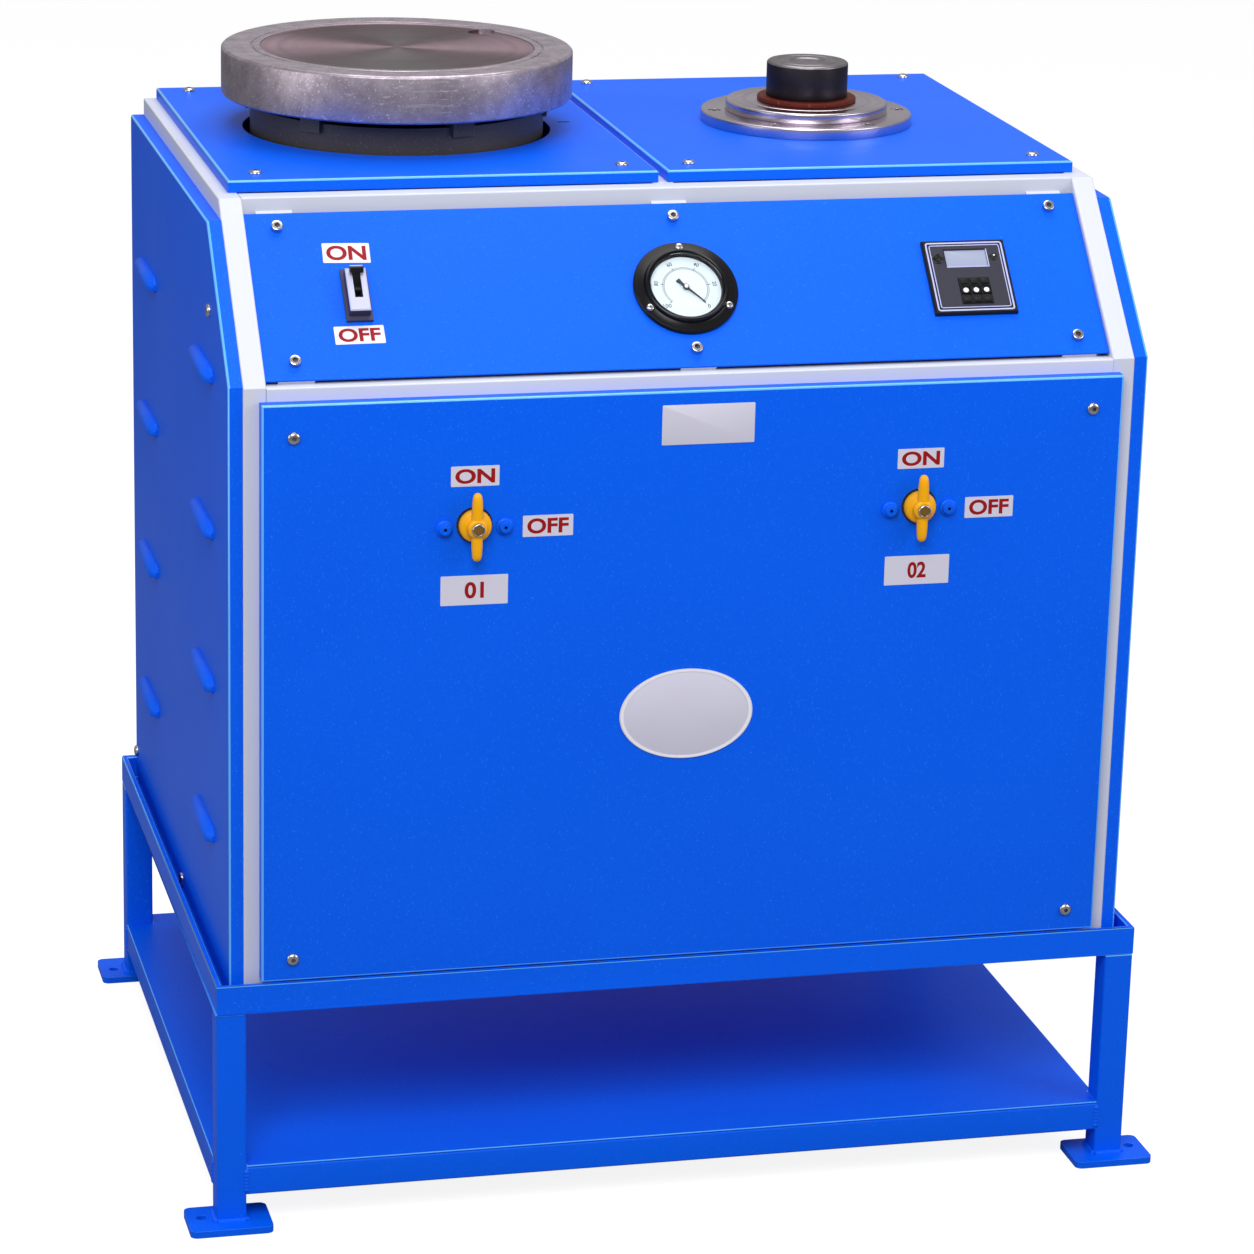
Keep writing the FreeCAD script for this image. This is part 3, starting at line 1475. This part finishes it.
def make_table():
    top = s.plate_bottom + s.plate_height
    face = s.plate_face_radius
    groove = s.plate_groove_radius
    plate = turned("table_turned", [
        (0.0, s.plate_bottom), (s.plate_radius - PLATE_EDGE, s.plate_bottom),
        (s.plate_radius, s.plate_bottom + PLATE_EDGE), (s.plate_radius, top - PLATE_EDGE),
        (s.plate_radius - PLATE_EDGE, top), (groove + GROOVE_HALF, top),
        (groove + GROOVE_HALF, top - GROOVE_DEEP), (groove - GROOVE_HALF, top - GROOVE_DEEP),
        (groove - GROOVE_HALF, top), (face, top), (face - FACE_DROP / 2, top - FACE_DROP),
        (0.0, top - FACE_DROP),
    ])
    ports = [
        rod("port_mouth", s.port_x, s.port_y, top - PORT_DEEP, s.port_radius, PORT_DEEP + 1),
        rod("port_way", s.port_x, s.port_y, s.plate_bottom, s.port_radius / 3, s.plate_height),
    ]
    plate = cut("table_ported", plate, ports)
    node(place(plate, s.table_x, s.table_y, 0.0), "vacuum_plate")

    drum = turned("drum_turned", [
        (0.0, s.drum_bottom), (s.drum_radius, s.drum_bottom), (s.drum_radius, s.drum_top),
        (s.drum_radius - s.drum_wall, s.drum_top),
        (s.drum_radius - s.drum_wall, s.drum_bottom + s.drum_wall), (0.0, s.drum_bottom + s.drum_wall),
    ])
    lugs = [drum]
    lug_height = s.plate_bottom - s.drum_top + LUG_DROP
    for number in range(LUG_COUNT):
        angle = LUG_START + 360 / LUG_COUNT * number
        lug = block(f"lug_{number}", 0.0, 0.0, 0.0, LUG_LENGTH, s.lug_width, lug_height)
        radians = math.radians(angle)
        radius = s.drum_radius - LUG_INSET
        half = s.lug_width / 2
        place(
            lug,
            radius * math.cos(radians) + half * math.sin(radians),
            radius * math.sin(radians) - half * math.cos(radians),
            s.drum_top - LUG_DROP,
            Rotation(Z_AXIS, angle),
        )
        lugs.append(lug)
    drum = fuse("drum", lugs)
    node(place(drum, s.table_x, s.table_y, 0.0), "vibration_drum")

    strap_level = s.drum_bottom - s.mount_height
    mounts = []
    mount = turned("rubber_mount", [
        (0.0, 0.0), (s.mount_radius, 0.0), (s.mount_radius * MOUNT_WAIST, s.mount_height / 2),
        (s.mount_radius, s.mount_height), (0.0, s.mount_height),
    ])
    for number, (x, y) in enumerate(
        (x, y) for x in (-s.mount_x, s.mount_x) for y in (-s.mount_y, s.mount_y)
    ):
        item = copy_of(f"rubber_mount_{number}", mount)
        mounts.append(place(item, s.table_x + x, s.table_y + y, strap_level))
    node(group("rubber_mount_set", mounts), "rubber_mounts")

    low_x = -inner_side
    high_x = s.split_x - s.tube_side / 2
    thick = s.strap_sheet
    low_z = strap_level - thick
    high_z = frame_top - s.tab_sheet
    straps = []
    for number, y in enumerate((s.table_y - s.mount_y, s.table_y + s.mount_y)):
        strap = prism(f"strap_{number}", "XZ_Plane", [
            (low_x, high_z), (low_x, low_z), (high_x, low_z), (high_x, high_z),
            (high_x - thick, high_z), (high_x - thick, low_z + thick),
            (low_x + thick, low_z + thick), (low_x + thick, high_z),
        ], -y - s.strap_width / 2, s.strap_width)
        straps.append(strap)
    node(group("strap_pair", straps), "table_straps")

    axis_z = s.drum_bottom - s.vibrator_drop
    half = s.vibrator_length / 2
    motor = fuse("vibrator_solid", [
        rod("vibrator_can", s.table_x - half, s.table_y, axis_z, s.vibrator_radius,
            s.vibrator_length, ALONG_X),
        block("vibrator_foot", s.table_x - half + VIBRATOR_EDGE, s.table_y - VIBRATOR_FOOT_HALF,
              axis_z, s.vibrator_length - VIBRATOR_EDGE * 2, VIBRATOR_FOOT_HALF * 2,
              s.vibrator_drop),
    ])
    shaft_bore = rod(
        "vibrator_bore", s.table_x, s.table_y, axis_z, SHAFT_RADIUS + s.running_gap, half, ALONG_X
    )
    node(cut("vibrator", motor, [shaft_bore]), "vibrator_motor")

    weight_x = s.table_x + half + WEIGHT_GAP
    disc = rod("weight_disc", weight_x, s.table_y, axis_z, s.weight_radius, s.weight_thickness, ALONG_X)
    half_space = block(
        "weight_half", weight_x, s.table_y - s.weight_radius, axis_z, s.weight_thickness,
        s.weight_radius * 2, s.weight_radius,
    )
    weight = fuse("weight", [
        cut("weight_cut", disc, [half_space]),
        rod("weight_hub", weight_x, s.table_y, axis_z, WEIGHT_HUB, s.weight_thickness,
            ALONG_X),
        rod("weight_shaft", weight_x - half, s.table_y, axis_z, SHAFT_RADIUS, half + WEIGHT_PAST,
            ALONG_X),
    ])
    node(weight, "vibrator_weight")


# Casting station


def make_casting_station():
    ring_level = pan_top + s.flange_height
    gasket_level = ring_level + s.ring_height
    plug_level = gasket_level + s.gasket_height
    flange = turned("flange_turned", [
        (s.flange_bore, pan_top), (s.flange_radius, pan_top),
        (s.flange_radius, ring_level - 1), (s.flange_radius - 1, ring_level),
        (s.flange_bore, ring_level),
    ])
    tools = []
    screws = []
    screw = cap_screw("flange_cap_screw", s.flange_height - SINK)
    for number in range(FLANGE_SCREWS):
        angle = math.radians(FLANGE_SCREW_START + 360 / FLANGE_SCREWS * number)
        x = s.flange_screw_circle * math.cos(angle)
        y = s.flange_screw_circle * math.sin(angle)
        tools.append(screw_hole(f"flange_hole_{number}", x, y, pan_top, hole_radius, s.flange_height))
        tools.append(
            screw_hole(f"flange_sink_{number}", x, y, ring_level - SINK, s.screw_radius * 1.8, SINK * 2)
        )
        item = copy_of(f"flange_screw_{number}", screw)
        screws.append(place(item, s.cast_x + x, s.cast_y + y, ring_level - SINK))
    flange = cut("flange", flange, tools)
    node(place(flange, s.cast_x, s.cast_y, 0.0), "casting_flange")
    node(group("flange_screw_group", screws), "casting_flange_screws")

    spigot = s.flange_bore - SPIGOT_GAP
    spigot_low = pan_top + SPIGOT_LEVEL
    ring = turned("adapter_turned", [
        (s.ring_bore, spigot_low), (spigot, spigot_low), (spigot, ring_level),
        (s.ring_radius, ring_level), (s.ring_radius, gasket_level - 1),
        (s.ring_radius - 1, gasket_level), (s.ring_bore, gasket_level),
    ])
    node(place(ring, s.cast_x, s.cast_y, 0.0), "adapter_ring")
    gasket = turned("gasket_turned", [
        (s.ring_bore + 2, gasket_level), (s.gasket_radius, gasket_level),
        (s.gasket_radius, plug_level), (s.ring_bore + 2, plug_level),
    ])
    node(place(gasket, s.cast_x, s.cast_y, 0.0), "silicone_gasket")
    top = plug_level + s.plug_height
    neck = s.ring_bore - SPIGOT_GAP
    neck_low = pan_top + PLUG_LEVEL
    dish_low = top - DISH_DEEP
    plug = turned("plug_turned", [
        (0.0, neck_low), (neck, neck_low), (neck, plug_level), (s.plug_radius, plug_level),
        (s.plug_radius, top - 2), (s.plug_radius - 2, top), (DISH_RADIUS, top),
        (DISH_RADIUS - 1, dish_low), (0.0, dish_low),
    ])
    node(place(plug, s.cast_x, s.cast_y, 0.0), "flask_plug")

    low = pan_top - s.chamber_depth
    wall = s.chamber_wall
    chamber = turned("chamber_turned", [
        (0.0, low), (s.chamber_radius, low), (s.chamber_radius, pan_top),
        (s.chamber_radius - wall, pan_top), (s.chamber_radius - wall, low + wall), (0.0, low + wall),
    ])
    chamber = cut("chamber", chamber, [rod("chamber_port", 0.0, 0.0, low, s.pipe_bore, wall)])
    node(place(chamber, s.cast_x, s.cast_y, 0.0), "casting_chamber")


# Pump, motor and pipes


def make_pump():
    floor = frame_bottom + s.tube_side + s.tray_sheet
    axis_z = floor + s.motor_radius + MOTOR_RISE
    body = new_body("pump_cast")
    sketch = new_sketch(body, "XY_Plane", floor)
    draw_rectangle(
        sketch, s.pump_x, s.pump_x + s.pump_width,
        s.pump_y - s.pump_length / 2, s.pump_y + s.pump_length / 2,
    )
    pad(body, sketch, s.pump_height)
    fillet(body, PUMP_CORNER, lambda edge: runs_along(edge, Z_AXIS))
    inlet = rod(
        "pump_inlet", s.pump_x + s.pump_width / 2, s.pump_y, floor + s.pump_height,
        INLET_RADIUS, PUMP_NECK,
    )
    body = cut("pump", fuse("pump_solid", [body, inlet]), [
        rod("pump_shaft_bore", s.pump_x, s.pump_y, axis_z, SHAFT_RADIUS + s.running_gap, PUMP_BORE,
            ALONG_X)
    ])
    node(body, "vacuum_pump")

    motor_x = s.pump_x - s.motor_length
    can_radius = s.motor_radius - FIN_PROUD
    can = rod("motor_can", motor_x, s.pump_y, axis_z, can_radius, s.motor_length, ALONG_X)
    fins = []
    half = FIN_THICK / 2
    radius = s.motor_radius - FIN_HEIGHT
    for number in range(FIN_COUNT):
        angle = 360 / FIN_COUNT * number
        radians = math.radians(angle)
        fin = block(
            f"motor_fin_{number}", 0.0, 0.0, 0.0, s.motor_length - FIN_INSET * 2, FIN_THICK, FIN_HEIGHT
        )
        place(
            fin, motor_x + FIN_INSET,
            s.pump_y + radius * math.sin(radians) - half * math.cos(radians),
            axis_z + radius * math.cos(radians) + half * math.sin(radians),
            Rotation(X_AXIS, -angle),
        )
        fins.append(fin)
    foot = block(
        "motor_foot", motor_x + MOTOR_FOOT_INSET, s.pump_y - MOTOR_FOOT_HALF, floor,
        s.motor_length - MOTOR_FOOT_INSET * 2, MOTOR_FOOT_HALF * 2, MOTOR_FOOT_HIGH,
    )
    shroud_x = motor_x - s.fan_length - SHROUD_GAP
    shroud_length = s.fan_length + SHROUD_GAP
    shroud = cut(
        "fan_shroud",
        rod("shroud_outside", shroud_x, s.pump_y, axis_z, s.motor_radius, shroud_length, ALONG_X),
        [rod("shroud_inside", shroud_x, s.pump_y, axis_z, s.motor_radius - SHROUD_WALL,
             shroud_length, ALONG_X)],
    )
    joiner = rod("shroud_joiner", motor_x, s.pump_y, axis_z, s.motor_radius, SHROUD_WALL, ALONG_X)
    motor = cut("motor", fuse("motor_solid", [can, foot, shroud, joiner] + fins), [
        rod("motor_bore", motor_x - 1, s.pump_y, axis_z, SHAFT_RADIUS + s.running_gap,
            s.motor_length + 2, ALONG_X)
    ])
    node(motor, "pump_motor")

    fan_x = motor_x - s.fan_length
    blades = [
        rod("fan_hub", fan_x, s.pump_y, axis_z, FAN_HUB, s.fan_length - SHROUD_GAP, ALONG_X),
        rod("fan_shaft", fan_x, s.pump_y, axis_z, SHAFT_RADIUS,
            s.fan_length + s.motor_length + PUMP_BORE - 1, ALONG_X),
    ]
    for number in range(FAN_BLADES):
        angle = 360 / FAN_BLADES * number
        radians = math.radians(angle)
        blade = block(
            f"fan_blade_{number}", 0.0, 0.0, 0.0, s.fan_length - SHROUD_GAP - 2, BLADE_THICK,
            s.fan_radius - BLADE_ROOT,
        )
        place(
            blade, fan_x + 1, s.pump_y + BLADE_ROOT * math.sin(radians),
            axis_z + BLADE_ROOT * math.cos(radians), Rotation(X_AXIS, -angle),
        )
        blades.append(blade)
    node(fuse("fan", blades), "pump_rotor")


def pipe_run(name, corners):
    """Rigid vacuum pipe in straight runs along the axes, with a square elbow at each corner."""
    pieces = []
    half = s.elbow_side / 2
    for number, (start, end) in enumerate(zip(corners, corners[1:])):
        spans = [float(b) - float(a) for a, b in zip(start, end)]
        axis = max(range(3), key=lambda index: abs(spans[index]))
        low = start if spans[axis] > 0 else end
        high = end if spans[axis] > 0 else start
        turn = (ALONG_X, ALONG_Y, UPRIGHT)[axis]
        pieces.append(rod(f"{name}_run_{number}", *low, s.pipe_radius, high[axis] - low[axis], turn))
    for number, (x, y, z) in enumerate(corners[1:-1]):
        pieces.append(block(
            f"{name}_elbow_{number}", x - half, y - half, z - half,
            s.elbow_side, s.elbow_side, s.elbow_side,
        ))
    return fuse(name, pieces)


def make_pipes():
    floor = frame_bottom + s.tube_side + s.tray_sheet
    inlet_top = floor + s.pump_height + PUMP_NECK
    inlet_x = s.pump_x + s.pump_width / 2
    valve_y = frame_front + s.ball_depth
    low_end = s.valve_z - VALVE_HALF
    high_end = s.valve_z + VALVE_HALF
    header = inlet_top + s.header_rise
    chamber_low = pan_top - s.chamber_depth
    chamber_way = s.cast_y - s.chamber_radius - s.elbow_side
    table_way = s.table_y - s.mount_y + s.strap_width / 2 + s.elbow_side * PIPE_CLEAR
    hose_end = s.drum_bottom - s.table_hose_gap
    runs = [
        pipe_run("pump_to_casting_valve", [
            (inlet_x, s.pump_y, inlet_top), (inlet_x, s.pump_y, header),
            (inlet_x, valve_y, header), (s.valve_x, valve_y, header), (s.valve_x, valve_y, low_end),
        ]),
        pipe_run("casting_valve_to_chamber", [
            (s.valve_x, valve_y, high_end), (s.valve_x, valve_y, high_end + s.pipe_rise),
            (s.valve_x, chamber_way, high_end + s.pipe_rise),
            (s.valve_x, chamber_way, chamber_low - s.elbow_side),
            (s.valve_x, s.cast_y, chamber_low - s.elbow_side), (s.valve_x, s.cast_y, chamber_low),
        ]),
        pipe_run("header_to_vacuum_valve", [
            (inlet_x - s.elbow_side / 2, valve_y, header), (-s.valve_x, valve_y, header),
            (-s.valve_x, valve_y, low_end),
        ]),
        pipe_run("vacuum_valve_to_table", [
            (-s.valve_x, valve_y, high_end), (-s.valve_x, valve_y, high_end + s.pipe_rise),
            (-s.valve_x, table_way, high_end + s.pipe_rise),
            (-s.valve_x, table_way, hose_end),
        ]),
    ]
    node(fuse("pipes", runs), "vacuum_pipes")


def make_gland():
    face = frame_rear + s.front_pan_depth
    radius = s.gland_radius
    neck = radius * GLAND_NECK - s.screw_hole_gap
    gland = turned("gland_turned", [
        (radius * GLAND_BORE, -GLAND_BACK), (neck, -GLAND_BACK), (neck, 0.0), (radius, 0.0),
        (radius, GLAND_COLLAR), (radius * GLAND_TIP, GLAND_NOSE), (radius * GLAND_BORE, GLAND_NOSE),
    ])
    node(place(gland, s.gland_x, face, s.gland_z, Rotation(X_AXIS, -90)), "mains_gland")


make_stand()
make_frame()
make_front_and_rear()
make_side_panels()
make_top_panels()
make_instrument_panel()
make_tray()
make_tabs()
make_screws()
make_breaker()
make_gauge()
make_timer()
make_valves()
make_table()
make_casting_station()
make_pump()
make_pipes()
make_gland()
doc.recompute()

# Nothing is written unless every object is sound
for item in doc.Objects:
    if "Invalid" in item.State or "Error" in item.State:
        raise RuntimeError(f"{item.Name} failed: {item.State}")
    if item.TypeId == "PartDesign::Pocket":
        before = item.BaseFeature.Shape.Volume
        if item.Shape.Volume > before - 1e-3:
            raise RuntimeError(f"{item.Name} cuts nothing")
for item in nodes:
    if item.Shape.isNull() or not item.Shape.isValid() or not item.Shape.Solids:
        raise RuntimeError(f"{item.Label} has no valid shape")

os.makedirs("parts", exist_ok=True)
for item in nodes:
    item.Shape.exportStep(f"parts/{item.Label}.step")
print(len(nodes), "nodes written")
